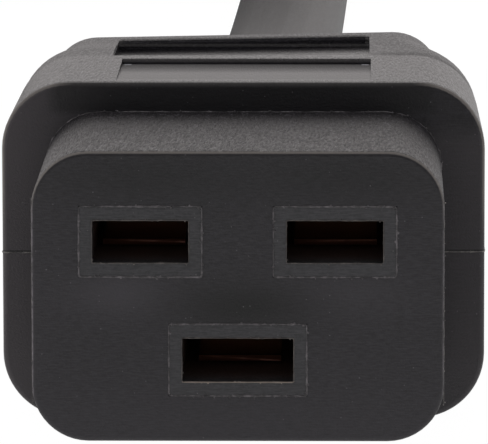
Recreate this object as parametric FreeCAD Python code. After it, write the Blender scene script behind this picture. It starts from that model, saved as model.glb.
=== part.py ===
import FreeCAD, Part
import math
import os

from FreeCAD import Vector

# C19 appliance connector on a short rack lead that ends in a C20 plug.
# Millimetres. +Z is up and the mating face looks along -Y. The origin is the centre of the
# connector's footprint, on the surface that it stands on. Each moulded end is first built in
# its own frame, with the centre of its mating face at the origin and +Y towards the cord.

# Mating layout, shared by the connector's slots and the plug's pins
pole_spacing = 13.0            # line to neutral, centre to centre
pole_rise = 3.75               # line and neutral above the axis
earth_drop = 4.25              # earth below the axis
blade_width = 5.0
blade_thickness = 2.0

# Connector nose and body
nose_width = 27.6
nose_height = 19.6
nose_corner = 3.8
nose_length = 20.0
nose_edge = 0.3
shoulder_width = 33.7
shoulder_height = 23.7
shoulder_corner = 4.65
shoulder_edge = 0.35
front_block_length = 15.4      # up to the seam that runs round the block
rear_block_length = 4.2
seam_step = 0.08               # rear block inside the front block, all round
block_draft = 0.19             # each side of a block lost over its length

# Rear of each moulded end: flare, finger grip, neck and slotted boot
flare_length = 7.4
flare_steps = 8
grip_width = 28.8
grip_step = 0.15               # grip face below the block face, top and bottom
grip_corner = 3.45
grip_edge = 1.2
grip_length = 3.75
rear_turn = 1.07               # degrees that the soft rear is turned from the nose, left side down
neck_width = 20.0
neck_height = 17.0
neck_corner = 7.6
neck_length = 5.25
boot_root_radius = 8.4
boot_tip_radius = 7.0
boot_length = 20.0
boot_rows = 5
boot_slot = 1.3
boot_bridge = 4.4
boot_skin = 0.7                # left round the cord under each slot

# Finger pockets in the top and bottom faces, placed from the back of the grip
pocket_back = 3.7
rear_pocket_length = 11.75
rear_pocket_width = 18.5
rear_pocket_depth = 0.75
pocket_rib = 1.9
front_pocket_length = 12.9
front_pocket_width = 17.8
front_pocket_depth = 0.38
pocket_rim = 0.25              # rounding of each pocket's rear edge

# Contact carrier with its three towers
tower_wall = 0.9
tower_wall_tall = 0.97
slot_width = 6.5
slot_height = 2.9
earth_slot_width = 7.5
earth_slot_height = 3.0
tower_edge = 0.12
base_border = 1.5              # carrier base beyond its towers
base_corner = 2.0
base_start = 19.0
base_thickness = 3.0
cap_thickness = 2.0
tail_clearance = 0.1           # cap to a contact's tail, each side

# Female contacts and the crimps of both ends
leaf_thickness = 0.4
contact_width = 5.6
contact_setback = 7.5          # leaf tips behind the mating face
contact_length = 10.5
nip_place = 0.25               # narrowest point, as a share of the contact's length
nip_gap = 1.6
mouth_gap = 1.9
tail_width = 2.4
crimp_wall = 0.35
crimp_length = 5.0
crimp_seam = 0.3
crimp_start = 25.0
strip_length = 0.5             # bare conductor between crimp and insulation

# Cord: three cores in a round jacket
cord_diameter = 10.7
core_diameter = 3.9
conductor_diameter = 2.1
core_gap = 0.3
core_angles = {"line": 150, "neutral": 30, "earth": 270}    # degrees round the jacket's axis
core_straight = 3.5            # insulated core that still lies on its contact's axis
core_parallel = 6.0            # cores side by side before they enter the jacket
jacket_in_boot = 22.0          # jacket held in the connector's mould
jacket_in_plug = 16.0

# C20 plug
shroud_width = 33.6
shroud_height = 25.0
shroud_corner = 5.6
shroud_length = 22.0
shroud_edge = 0.5
socket_clearance = 0.35        # shroud to a mating nose, each side
socket_depth = 19.5
plug_grip_length = 10.0
insert_thickness = 5.5
pin_setback = 2.5              # pin tips behind the rim
earth_pin_lead = 1.0           # the earth pin makes first
pin_chamfer = 0.6
heel_length = 0.8              # step between a pin's blade and its crimp

# Hank that stores the unused length: turns lying on each other, tied on both sides
hank_turns = 3
hank_start = 227.0             # first point of its near bend, from the origin
hank_length = 180.0
hank_bend_radius = 34.0
hank_side_x = 4.5              # axis of the run that the lead turns into
hank_corner = 4.6
crossing_gap = 0.4             # between turns that cross
tie_thickness = 0.8
tie_width = 14.0

# Plug beside the lead
plug_x = -47.5
plug_face_y = 98.0

# Working values of the tools, not sizes of the part
reach = 1.0                    # how far a cutting tool goes past what it cuts
short_side = 0.04              # straight left between the arcs of an outline that is nearly round

cord_radius = cord_diameter / 2
axis_height = shoulder_height / 2
block_length = front_block_length + rear_block_length
body_length = block_length + flare_length + grip_length
overall_length = nose_length + body_length + neck_length + boot_length
face_y = -overall_length / 2
jacket_end = overall_length - jacket_in_boot
plug_length = shroud_length + flare_length + plug_grip_length + neck_length + boot_length
plug_axis_height = shroud_height / 2
plug_jacket_end = plug_length - jacket_in_plug
slots = {
    "line": (slot_width, slot_height),
    "neutral": (slot_width, slot_height),
    "earth": (earth_slot_width, earth_slot_height),
}
base_width = pole_spacing + slot_width + 2 * (tower_wall + base_border)
base_height = 2 * (earth_drop + earth_slot_height / 2 + tower_wall_tall + base_border)
poles = {
    "line": (-pole_spacing / 2, pole_rise),
    "neutral": (pole_spacing / 2, pole_rise),
    "earth": (0.0, -earth_drop),
}


def outline(width, height, corner, y, x=0.0, z=0.0):
    """Closed rounded rectangle in the plane at y, centred on x and z."""
    a = width / 2 - corner
    b = height / 2 - corner
    s = corner * math.sqrt(0.5)
    edges = []
    for sx, sz in ((1, 1), (-1, 1), (-1, -1), (1, -1)):
        side = Vector(x + sx * (a + corner), y, z + sz * b)
        middle = Vector(x + sx * (a + s), y, z + sz * (b + s))
        top = Vector(x + sx * a, y, z + sz * (b + corner))
        ends = (side, top) if sx * sz > 0 else (top, side)
        if edges:
            edges.append(Part.makeLine(edges[-1].Vertexes[-1].Point, ends[0]))
        edges.append(Part.Arc(ends[0], middle, ends[1]).toShape())
    edges.append(Part.makeLine(edges[-1].Vertexes[-1].Point, edges[0].Vertexes[0].Point))
    return Part.Wire(edges)


def prism(width, height, corner, start, end, x=0.0, z=0.0):
    """Rounded bar along Y."""
    face = Part.Face(outline(width, height, corner, start, x, z))
    return face.extrude(Vector(0, end - start, 0))


def bar(width, height, start, end, x=0.0, z=0.0):
    """Square-edged bar along Y."""
    corner = Vector(x - width / 2, start, z - height / 2)
    return Part.makeBox(width, end - start, height, corner)


def rod(radius, start, end, x=0.0, z=0.0):
    """Round bar along Y."""
    return Part.makeCylinder(radius, end - start, Vector(x, start, z), Vector(0, 1, 0))


def fused(shapes):
    """One solid from touching ones, without the seams between them."""
    return shapes[0].multiFuse(shapes[1:]).removeSplitter().Solids[0]


def rounded_at(shape, y, radius):
    """Rounds the edges that lie in the plane at y."""
    edges = [e for e in shape.Edges if abs(e.BoundBox.YMin - y) < 1e-5 and abs(e.BoundBox.YMax - y) < 1e-5]
    return shape.makeFillet(radius, edges).Solids[0]


def tube(points, radius, name):
    """Round tube along straight runs joined by tangent arcs, each as large as its two runs allow."""
    points = [Vector(*p) for p in points]
    pieces = []
    radii = []
    length = 0.0
    here = points[0]
    for before, corner, after in zip(points, points[1:], points[2:]):
        back = (before - corner).normalize()
        ahead = (after - corner).normalize()
        turn = math.pi - back.getAngle(ahead)
        cut_back = 0.45 * min((before - corner).Length, (after - corner).Length)
        bend = cut_back / math.tan(turn / 2)
        first = corner + back * cut_back
        centre = corner + (back + ahead).normalize() * (bend / math.cos(turn / 2))
        pieces.append(Part.makeCylinder(radius, (first - here).Length, here, first - here))
        section = Part.Face(Part.Wire(Part.makeCircle(radius, first, -back)))
        pieces.append(section.revolve(centre, ahead.cross(back), math.degrees(turn)))
        length += (first - here).Length + bend * turn
        radii.append(round(bend))
        here = corner + ahead * cut_back
    pieces.append(Part.makeCylinder(radius, (points[-1] - here).Length, here, points[-1] - here))
    length += (points[-1] - here).Length
    solid = fused(pieces)
    share = solid.Volume / (math.pi * radius ** 2 * length)
    print(f"{name}: length {length:.1f}, radii {radii}, volume {share:.5f} of section times length")
    return solid


def turned(shape, height, turn):
    """Turned about the middle of the bottom face of a moulding of this height, left side down."""
    return shape.rotated(Vector(0, 0, -height / 2), Vector(0, 1, 0), -turn)


def tapered(width, height, corner, start, end, loss):
    """Rounded bar along Y that loses this much of each side from start to end, top and bottom level."""
    face = Part.Face(outline(width, height, corner, start))
    left, right = [face.extrude(Vector(side * loss, end - start, 0)) for side in (-1, 1)]
    return left.common(right).removeSplitter().Solids[0]


def rear_form(width, height, corner, start, grip, turn):
    """Flare, finger grip, neck and boot behind a block that ends at start."""
    sections = []
    for i in range(flare_steps + 1):
        share = (1 + math.cos(math.pi * i / flare_steps)) / 2
        section = outline(
            grip_width + (width - grip_width) * share,
            height - 2 * grip_step * (1 - share),
            grip_corner + (corner - grip_corner) * share,
            start + flare_length * i / flare_steps,
        )
        sections.append(turned(section, height, turn * (1 - share)))
    flare = Part.makeLoft(sections, True, True)
    grip_start = start + flare_length
    grip_end = grip_start + grip
    block = prism(grip_width, height - 2 * grip_step, grip_corner, grip_start, grip_end)
    block = turned(rounded_at(block, grip_end, grip_edge), height, turn)
    neck_end = grip_end + neck_length
    round_size = 2 * boot_root_radius
    neck = Part.makeLoft([
        outline(neck_width, neck_height, neck_corner, grip_end),
        outline(round_size, round_size, boot_root_radius - short_side / 2, neck_end),
    ], True, True)
    boot = Part.makeCone(
        boot_root_radius, boot_tip_radius, boot_length, Vector(0, neck_end, 0), Vector(0, 1, 0)
    )
    return fused([flare, block, neck, boot.cut(boot_slots(neck_end)).Solids[0]])


def boot_slots(start):
    """Rows of part-round slots that let the boot bend, each row a quarter turn from the last."""
    pitch = boot_length / (boot_rows + 0.5)
    slots = []
    for row in range(boot_rows):
        y = start + pitch * (row + 0.5)
        ring = rod(boot_root_radius + reach, y, y + boot_slot).cut(
            rod(cord_radius + boot_skin, y, y + boot_slot)
        )
        across = 2 * (boot_root_radius + reach)
        size = (across, boot_bridge) if row % 2 else (boot_bridge, across)
        slots.append(ring.cut(bar(*size, y, y + boot_slot)))
    return slots


def pocket(start, wall, start_depth, wall_depth, fall, width, height):
    """Tool for a shallow pocket in a top face, its rear rim rounded and lower by fall."""
    rim = pocket_rim
    middle = rim * (1 - math.sqrt(0.5))

    def at(y, depth):
        return Vector(-width / 2, y, height / 2 - depth)

    corners = [
        at(wall + rim, fall),
        at(wall + rim, -reach),
        at(start, -reach),
        at(start, start_depth),
        at(wall, fall + wall_depth),
        at(wall, fall + rim),
    ]
    rounding = Part.Arc(corners[-1], at(wall + middle, fall + middle), corners[0]).toShape()
    face = Part.Face(Part.Wire(Part.makePolygon(corners).Edges + [rounding]))
    return face.extrude(Vector(width, 0, 0))


def finger_pockets(grip_end, height, fall, turn):
    """Two shallow pockets with a rib between them, in the top face and in the bottom face."""
    rear_wall = grip_end - pocket_back
    rib_back = rear_wall - rear_pocket_length
    front_wall = rib_back - pocket_rib
    front = pocket(
        front_wall - front_pocket_length, front_wall, 0, front_pocket_depth, 0, front_pocket_width, height
    )
    rear = pocket(
        rib_back, rear_wall, rear_pocket_depth, rear_pocket_depth, fall, rear_pocket_width, height
    )
    tools = []
    for tool, tool_turn in ((front, 0), (rear, turn)):
        for side in (tool, tool.mirror(Vector(0, 0, 0), Vector(0, 0, 1))):
            tools.append(turned(side, height, tool_turn))
    return tools


def crimp(x, z, start, root):
    """Tail strip from root to an open crimp barrel, without the hole for the conductor."""
    outer = conductor_diameter / 2 + crimp_wall
    strip = bar(tail_width, leaf_thickness, root, start + crimp_length, x, z - outer + leaf_thickness / 2)
    barrel = rod(outer, start, start + crimp_length, x, z)
    seam = bar(crimp_seam, outer, start, start + crimp_length, x, z + outer)
    return strip.fuse(barrel).cut(seam)


def female_contact(x, z):
    """Folded strip with two sprung leaves that grip the blade, and its crimp."""
    tip = contact_setback
    root = tip + contact_length
    outer = blade_thickness / 2 + leaf_thickness
    nip_y = tip + contact_length * nip_place
    mouth = mouth_gap / 2
    nip = nip_gap / 2
    edges = []
    left = x - contact_width / 2

    def point(y, height):
        return Vector(left, y, z + height)

    def line(a, b):
        edges.append(Part.makeLine(a, b))

    def arc(a, b, c):
        edges.append(Part.Arc(a, b, c).toShape())

    thick = leaf_thickness
    inside = outer - thick
    arc(point(tip, mouth + thick), point(nip_y, nip + thick), point(root - thick, outer))
    line(point(root - thick, outer), point(root, outer))
    line(point(root, outer), point(root, -outer))
    line(point(root, -outer), point(root - thick, -outer))
    arc(point(root - thick, -outer), point(nip_y, -nip - thick), point(tip, -mouth - thick))
    line(point(tip, -mouth - thick), point(tip, -mouth))
    arc(point(tip, -mouth), point(nip_y, -nip), point(root - thick, -inside))
    line(point(root - thick, -inside), point(root - thick, inside))
    arc(point(root - thick, inside), point(nip_y, nip), point(tip, mouth))
    line(point(tip, mouth), point(tip, mouth + thick))
    spring = Part.Face(Part.Wire(edges)).extrude(Vector(contact_width, 0, 0))
    return spring.fuse(crimp(x, z, crimp_start, root))


def plug_pin(x, z, tip, start):
    """Flat pin with a chamfered tip, and its crimp."""
    root = start - strip_length
    blade = bar(blade_width, blade_thickness, tip, root, x, z)
    lead_in = [e for e in blade.Edges if e.BoundBox.YMax - tip < 1e-6]
    heel = bar(tail_width, conductor_diameter + 2 * crimp_wall, root - heel_length, root, x, z)
    stamped = fused([blade.makeChamfer(pin_chamfer, lead_in), heel])
    return stamped.fuse(crimp(x, z, start, root - leaf_thickness))


def core_route(name, start, jacket):
    """From a contact's axis to the core's place in the jacket, where the cores touch in a triangle."""
    x, z = poles[name]
    lay = (core_diameter + core_gap) / math.sqrt(3)
    angle = math.radians(core_angles[name])
    in_x = lay * math.cos(angle)
    in_z = lay * math.sin(angle)
    return [
        (x, start, z),
        (x, start + core_straight, z),
        (in_x, jacket - core_parallel, in_z),
        (in_x, jacket, in_z),
    ]


def cores(start, jacket):
    """Conductor and insulation of each pole, from the crimps to the jacket's end."""
    made = {}
    insulated = start + crimp_length + strip_length
    for name, (x, z) in poles.items():
        path = core_route(name, insulated, jacket)
        inner = tube(path, conductor_diameter / 2, f"{name} conductor")
        skin = tube(path, core_diameter / 2, f"{name} core")
        bare = rod(conductor_diameter / 2, start, insulated, x, z)
        made[f"{name}_conductor"] = fused([bare, inner])
        made[f"{name}_insulation"] = skin.cut(inner)
    return made


def connector(lead):
    """Every piece of the connector, in its own frame. lead is the cord as it lies in the boot."""
    made = cores(crimp_start, jacket_end)
    base_end = base_start + base_thickness
    cap_end = base_end + cap_thickness
    carrier = [prism(base_width, base_height, base_corner, base_start, base_end)]
    hollows = []
    cap = prism(base_width, base_height, base_corner, base_end, cap_end)
    for name, (x, z) in poles.items():
        width, height = slots[name]
        tower = bar(width + 2 * tower_wall, height + 2 * tower_wall_tall, 0, base_start, x, z)
        carrier.append(rounded_at(tower, 0, tower_edge))
        hollows.append(bar(width, height, 0, base_end, x, z))
        contact = female_contact(x, z)
        made[f"{name}_contact"] = contact.cut(made[f"{name}_conductor"])
        cap = cap.cut(bar(tail_width + 2 * tail_clearance, height, base_end, cap_end, x, z))
    made["contact_carrier"] = fused(carrier).cut(hollows)
    made["carrier_cap"] = cap

    nose = rounded_at(prism(nose_width, nose_height, nose_corner, 0, nose_length), 0, nose_edge)
    seam = nose_length + front_block_length
    block_end = nose_length + block_length
    front_block = tapered(
        shoulder_width, shoulder_height, shoulder_corner, nose_length, seam, block_draft
    )
    front_block = rounded_at(front_block, nose_length, shoulder_edge)
    rear_width = shoulder_width - 2 * (block_draft + seam_step)
    rear_height = shoulder_height - 2 * seam_step
    rear_block = prism(rear_width, rear_height, shoulder_corner, seam, block_end)
    rear = rear_form(rear_width, rear_height, shoulder_corner, block_end, grip_length, rear_turn)
    body = fused([nose, front_block, rear_block, rear])
    fall = seam_step + grip_step
    body = body.cut(finger_pockets(nose_length + body_length, shoulder_height, fall, rear_turn))
    room = [prism(base_width, base_height, base_corner, base_start, cap_end)]
    for name, (x, z) in poles.items():
        width, height = slots[name]
        room.append(bar(width + 2 * tower_wall, height + 2 * tower_wall_tall, -reach, base_start, x, z))
        room.append(made[f"{name}_contact"])
        room.append(made[f"{name}_conductor"])
        room.append(made[f"{name}_insulation"])
    made["overmould_body"] = body.cut(room + [lead])
    return made


def plug(tail):
    """Every piece of the plug, in its own frame. tail is the cord as it lies in the boot."""
    insert_end = socket_depth + insert_thickness
    start = insert_end + 2 * strip_length
    made = cores(start, plug_jacket_end)
    insert = prism(base_width, base_height, base_corner, socket_depth, insert_end)
    for name, (x, z) in poles.items():
        tip = pin_setback - (earth_pin_lead if name == "earth" else 0)
        pin = plug_pin(x, z, tip, start)
        insert = insert.cut(pin)
        made[f"{name}_pin"] = pin.cut(made[f"{name}_conductor"])
    made["pin_insert"] = insert

    shroud = prism(shroud_width, shroud_height, shroud_corner, 0, shroud_length)
    shroud = rounded_at(shroud, 0, shroud_edge)
    rear = rear_form(shroud_width, shroud_height, shroud_corner, shroud_length, plug_grip_length, 0)
    socket = prism(
        nose_width + 2 * socket_clearance,
        nose_height + 2 * socket_clearance,
        nose_corner + socket_clearance,
        -reach,
        socket_depth,
    )
    grip_end = shroud_length + flare_length + plug_grip_length
    body = fused([shroud, rear]).cut(socket)
    body = body.cut(finger_pockets(grip_end, shroud_height, grip_step, 0))
    room = [s for n, s in made.items() if n != "pin_insert"]
    room.append(prism(base_width, base_height, base_corner, socket_depth, insert_end))
    made["body"] = body.cut(room + [tail])
    return {f"plug_{name}": shape for name, shape in made.items()}


def hank_loop(width, height, corner, bottom):
    """Bar of one section bent into the hank's long closed loop."""
    near = hank_start + cord_radius + hank_bend_radius
    far = hank_start + hank_length - cord_radius - hank_bend_radius
    middle_x = hank_side_x - hank_bend_radius
    middle_z = bottom + height / 2
    right = outline(width, height, corner, near, hank_side_x, middle_z)
    left = outline(width, height, corner, near, middle_x - hank_bend_radius, middle_z)
    run = Vector(0, far - near, 0)
    pieces = [Part.Face(right).extrude(run), Part.Face(left).extrude(run)]
    for y, section in ((near, left), (far, right)):
        face = Part.Face(section)
        if y == far:
            face.translate(run)
        pieces.append(face.revolve(Vector(middle_x, y, 0), Vector(0, 0, 1), 180))
    return fused(pieces)


def hank():
    """Outer shape of the stored turns, open where the lead comes in below and the tail leaves on top."""
    height = hank_turns * cord_diameter
    loop = hank_loop(cord_diameter, height, hank_corner, tie_thickness)
    near = hank_start + cord_radius + hank_bend_radius
    middle_x = hank_side_x - hank_bend_radius
    depth = near - hank_start + reach
    wide = hank_bend_radius + cord_diameter
    low = tie_thickness + cord_diameter + crossing_gap
    high = tie_thickness + height - cord_diameter - crossing_gap
    below = Part.makeBox(wide, depth, low, Vector(middle_x, near - depth, 0))
    above = Part.makeBox(wide, depth, height, Vector(middle_x - wide, near - depth, high))
    return loop.cut([below, above])


def tie(x):
    """Hook-and-loop strap round one side of the hank."""
    middle = hank_start + hank_length / 2
    height = hank_turns * cord_diameter
    middle_z = tie_thickness + height / 2
    inner = prism(
        cord_diameter, height, hank_corner, middle - tie_width / 2, middle + tie_width / 2, x, middle_z
    )
    outer = prism(
        cord_diameter + 2 * tie_thickness,
        height + 2 * tie_thickness,
        hank_corner + tie_thickness,
        middle - tie_width / 2,
        middle + tie_width / 2,
        x,
        middle_z,
    )
    return outer.cut(inner)


# The lead from inside the boot to the hank: level out of the boot, then down onto the surface
hank_near = hank_start + cord_radius + hank_bend_radius
floor_z = cord_radius
low_turn_z = tie_thickness + cord_radius
top_turn_z = tie_thickness + (hank_turns - 0.5) * cord_diameter
lead_points = [
    (0.0, face_y + jacket_end, axis_height),
    (0.0, 57.0, axis_height),
    (0.4, 99.0, 7.4),
    (1.0, 136.0, floor_z),
    (1.8, 180.0, floor_z),
    (2.4, 222.0, 5.5),
    (hank_side_x, 248.0, low_turn_z),
    (hank_side_x, hank_near, low_turn_z),
]

# The tail from the hank's top turn down into the plug
hank_far_side_x = hank_side_x - 2 * hank_bend_radius
tail_points = [
    (hank_far_side_x, hank_near, top_turn_z),
    (hank_far_side_x, 240.0, top_turn_z),
    (-57.0, 208.5, 20.5),
    (plug_x, 176.0, plug_axis_height),
    (plug_x, plug_face_y + plug_jacket_end, plug_axis_height),
]

connector_place = Vector(0, face_y, axis_height)
plug_place = Vector(plug_x, plug_face_y, plug_axis_height)
lead = tube(lead_points, cord_radius, "cord lead")
tail = tube(tail_points, cord_radius, "cord tail")
parts = {}
for name, shape in connector(lead.translated(-connector_place)).items():
    parts[name] = shape.translated(connector_place)
for name, shape in plug(tail.translated(-plug_place)).items():
    parts[name] = shape.translated(plug_place)
parts["cord_lead"] = lead
parts["cord_tail"] = tail
parts["cord_hank"] = hank()
parts["hank_tie_right"] = tie(hank_side_x)
parts["hank_tie_left"] = tie(hank_far_side_x)

os.makedirs("parts", exist_ok=True)
for name, shape in parts.items():
    box = shape.optimalBoundingBox(False)
    print(f"{name}: {len(shape.Solids)} solid, valid {shape.isValid()}, volume {shape.Volume:.1f},"
          f" x {box.XMin:.2f} {box.XMax:.2f}, y {box.YMin:.2f} {box.YMax:.2f}, z {box.ZMin:.2f} {box.ZMax:.2f}")
    shape.exportStep(f"parts/{name}.step")
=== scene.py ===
import math

import bmesh
import bpy
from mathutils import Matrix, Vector


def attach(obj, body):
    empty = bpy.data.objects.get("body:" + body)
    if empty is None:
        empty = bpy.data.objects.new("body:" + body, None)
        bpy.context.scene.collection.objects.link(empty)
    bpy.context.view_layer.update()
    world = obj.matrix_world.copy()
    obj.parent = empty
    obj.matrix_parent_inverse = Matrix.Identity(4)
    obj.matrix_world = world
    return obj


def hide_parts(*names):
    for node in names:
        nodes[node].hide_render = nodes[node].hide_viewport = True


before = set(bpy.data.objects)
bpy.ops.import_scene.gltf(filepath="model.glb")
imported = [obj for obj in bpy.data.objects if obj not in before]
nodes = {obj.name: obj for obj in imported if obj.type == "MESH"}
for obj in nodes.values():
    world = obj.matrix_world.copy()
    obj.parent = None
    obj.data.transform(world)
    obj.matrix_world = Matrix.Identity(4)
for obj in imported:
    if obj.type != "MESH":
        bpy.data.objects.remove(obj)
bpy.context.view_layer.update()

# the middle of each slot on the face, x and z
poles = {"line": (-0.0065, 0.0156), "neutral": (0.0065, 0.0156), "earth": (0.0, 0.0076)}


def addObject(name, data):
    made = bpy.data.objects.new(name, data)
    bpy.context.scene.collection.objects.link(made)
    return made


def addPiece(name, bm):
    mesh = bpy.data.meshes.new(name)
    bm.to_mesh(mesh)
    bm.free()
    return addObject(name, mesh)


def addSolid(name, bm):
    # merges doubled points and turns the faces outwards first
    bmesh.ops.remove_doubles(bm, verts=bm.verts, dist=1e-7)
    bmesh.ops.recalc_face_normals(bm, faces=bm.faces)
    return addPiece(name, bm)


def dress(mesh, material):
    mesh.materials.clear()
    mesh.materials.append(material)


def finishPiece(piece, material):
    # one finish all over, then the piece goes onto the fixed frame
    dress(piece.data, material)
    piece.data.polygons.foreach_set("material_index", [0] * len(piece.data.polygons))
    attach(piece, "root")


def times(colour, share):
    return tuple(c * share for c in colour)


class NodeBench:
    # a few short words for laying out nodes
    def __init__(self, name=None, tree=None):
        self.tree = tree
        if name:
            self.material = bpy.data.materials.new(name)
            self.material.use_nodes = True
            self.tree = self.material.node_tree
            self.shader = self.tree.nodes["Principled BSDF"]
            self.place = self.add("ShaderNodeTexCoord").outputs["Object"]

    def add(self, kind, **settings):
        node = self.tree.nodes.new(kind)
        for key, value in settings.items():
            setattr(node, key, value)
        return node

    def link(self, a, b):
        self.tree.links.new(a, b)

    def feed(self, value, socket):
        # links what varies and sets what doesn't
        if isinstance(value, bpy.types.NodeSocket):
            self.link(value, socket)
        elif isinstance(value, tuple) and socket.type == "RGBA":
            socket.default_value = (*value, 1)
        else:
            socket.default_value = value

    def finish(self, tone, rough, normal):
        for name, value in (("Base Color", tone), ("Roughness", rough), ("Normal", normal)):
            self.feed(value, self.shader.inputs[name])
        return self.material

    def scaled(self, scale):
        mapping = self.add("ShaderNodeMapping")
        mapping.inputs["Scale"].default_value = scale
        self.link(self.place, mapping.inputs["Vector"])
        return mapping.outputs["Vector"]

    def noise(self, scale, detail, rough, place=None):
        node = self.add("ShaderNodeTexNoise")
        node.inputs["Scale"].default_value = scale
        node.inputs["Detail"].default_value = detail
        node.inputs["Roughness"].default_value = rough
        self.link(place or self.place, node.inputs["Vector"])
        return node.outputs["Fac"]

    def dots(self, scale, size, share):
        # sparse round dots: size is a share of the cell, share is how many cells have one
        node = self.add("ShaderNodeTexVoronoi", feature="F1")
        node.inputs["Scale"].default_value = scale
        self.link(self.place, node.inputs["Vector"])
        pick = self.add("ShaderNodeSeparateColor")
        self.link(node.outputs["Color"], pick.inputs["Color"])
        chosen = self.span(pick.outputs["Red"], 1 - share, 1 - share * 0.4)
        return self.sums("MULTIPLY", self.span(node.outputs["Distance"], size, size * 0.4), chosen)

    def axes(self, place=None):
        split = self.add("ShaderNodeSeparateXYZ")
        self.link(place or self.place, split.inputs["Vector"])
        return split.outputs["X"], split.outputs["Y"], split.outputs["Z"]

    def blend(self, fac, a, b):
        # colour a where fac is 0, b where it is 1
        node = self.add("ShaderNodeMix", data_type="RGBA")
        for index, value in ((0, fac), (6, a), (7, b)):
            self.feed(value, node.inputs[index])
        return node.outputs[2]

    def mixed(self, fac, a, b):
        # the same for plain numbers
        node = self.add("ShaderNodeMix")
        for index, value in ((0, fac), (2, a), (3, b)):
            self.feed(value, node.inputs[index])
        return node.outputs[0]

    def sums(self, kind, a, b):
        node = self.add("ShaderNodeMath", operation=kind)
        self.feed(a, node.inputs[0])
        self.feed(b, node.inputs[1])
        return node.outputs[0]

    def product(self, *factors):
        result = factors[0]
        for factor in factors[1:]:
            result = self.sums("MULTIPLY", result, factor)
        return result

    def without(self, value):
        return self.sums("SUBTRACT", 1.0, value)

    def span(self, value, low, high, outLow=0.0, outHigh=1.0):
        node = self.add("ShaderNodeMapRange")
        for key, number in (("From Min", low), ("From Max", high), ("To Min", outLow), ("To Max", outHigh)):
            node.inputs[key].default_value = number
        self.link(value, node.inputs["Value"])
        return node.outputs["Result"]

    def inside(self, value, low, high, soft):
        # 1 between low and high, fading over soft at each end
        return self.sums("MULTIPLY", self.span(value, low - soft, low), self.span(value, high + soft, high))

    def spot(self, x, z, centre, size):
        # soft round spot, 1 in its middle
        total = None
        for value, middle, width in zip((x, z), centre, size):
            offset = self.sums("DIVIDE", self.sums("SUBTRACT", value, middle), width)
            square = self.sums("MULTIPLY", offset, offset)
            total = square if total is None else self.sums("ADD", total, square)
        return self.sums("POWER", 0.37, total)

    def bump(self, height, distance, strength=1.0, before=None):
        node = self.add("ShaderNodeBump")
        node.inputs["Distance"].default_value = distance
        node.inputs["Strength"].default_value = strength
        self.link(height, node.inputs["Height"])
        if before:
            self.link(before, node.inputs["Normal"])
        return node.outputs["Normal"]


def startTree(name, inputs):
    # a Geometry Nodes tree with named inputs for its sizes
    tree = bpy.data.node_groups.new(name, "GeometryNodeTree")
    tree.interface.new_socket("Geometry", in_out="INPUT", socket_type="NodeSocketGeometry")
    for label, kind in inputs.items():
        tree.interface.new_socket(label, in_out="INPUT", socket_type="NodeSocket" + kind)
    tree.interface.new_socket("Geometry", in_out="OUTPUT", socket_type="NodeSocketGeometry")
    return NodeBench(tree=tree), tree.nodes.new("NodeGroupInput").outputs


def endTree(g, shape, material):
    real = g.add("GeometryNodeRealizeInstances")
    paint = g.add("GeometryNodeSetMaterial")
    g.link(shape, real.inputs["Geometry"])
    g.link(real.outputs["Geometry"], paint.inputs["Geometry"])
    g.link(material, paint.inputs["Material"])
    g.link(paint.outputs["Geometry"], g.add("NodeGroupOutput").inputs["Geometry"])
    return g.tree


def growTree(piece, tree, values):
    # runs the tree on the piece and keeps its result as a plain mesh
    modifier = piece.modifiers.new(tree.name, "NODES")
    modifier.node_group = tree
    for item in tree.interface.items_tree:
        if item.in_out == "INPUT" and item.name in values:
            modifier[item.identifier] = values[item.name]
    bpy.context.view_layer.update()
    seen = piece.evaluated_get(bpy.context.evaluated_depsgraph_get())
    mesh = bpy.data.meshes.new_from_object(seen)
    piece.modifiers.remove(modifier)
    piece.data = mesh


viewpoint = {
    "place": (0.0085, -0.4597, 0.08095),
    "down": 8.629,    # degrees below level
    "turn": 1.081,    # degrees to the left
    "roll": 0.1,
    "lens": 472.1,
    "sensor": 36,
    "far": 20,
}


def setCamera():
    data = bpy.data.cameras.new("camera")
    data.sensor_width = viewpoint["sensor"]
    data.lens = viewpoint["lens"]
    data.clip_end = viewpoint["far"]
    camera = addObject("camera", data)
    camera.location = viewpoint["place"]
    angles = (90 - viewpoint["down"], viewpoint["roll"], viewpoint["turn"])
    camera.rotation_euler = [math.radians(angle) for angle in angles]
    bpy.context.scene.camera = camera


setCamera()
print("camera set")


cord = {
    "diameter": 0.0107,
    "length": 1.5,
    "turns": 3,
    "nearY": 0.26635,      # the two ends of the hank's straight runs
    "farY": 0.36765,
    "runInset": 0.8,       # how far inside a run its points lie, in thirds of the run
    "rightX": 0.0045,
    "bendRadius": 0.034,
    "lowTurnZ": 0.00615,
    # share of a diameter gained at each point of the near bend
    "climb": (0.0, 0.2, 0.55, 0.9, 1.0),
}
leadPoints = [
    (0.0, 0.016, 0.01185),
    (0.0, 0.057, 0.01185),
    (0.0001, 0.099, 0.0074),
    (0.0005, 0.136, 0.00535),
    (0.0012, 0.180, 0.00535),
    (0.0017, 0.222, 0.0055),
    (0.0045, 0.248, 0.00615),
]
tailPoints = [
    (-0.0635, 0.2400, 0.02755),
    (-0.0570, 0.2085, 0.0205),
    (-0.0475, 0.1760, 0.0125),
    (-0.0475, 0.14665, 0.0125),
]


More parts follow.
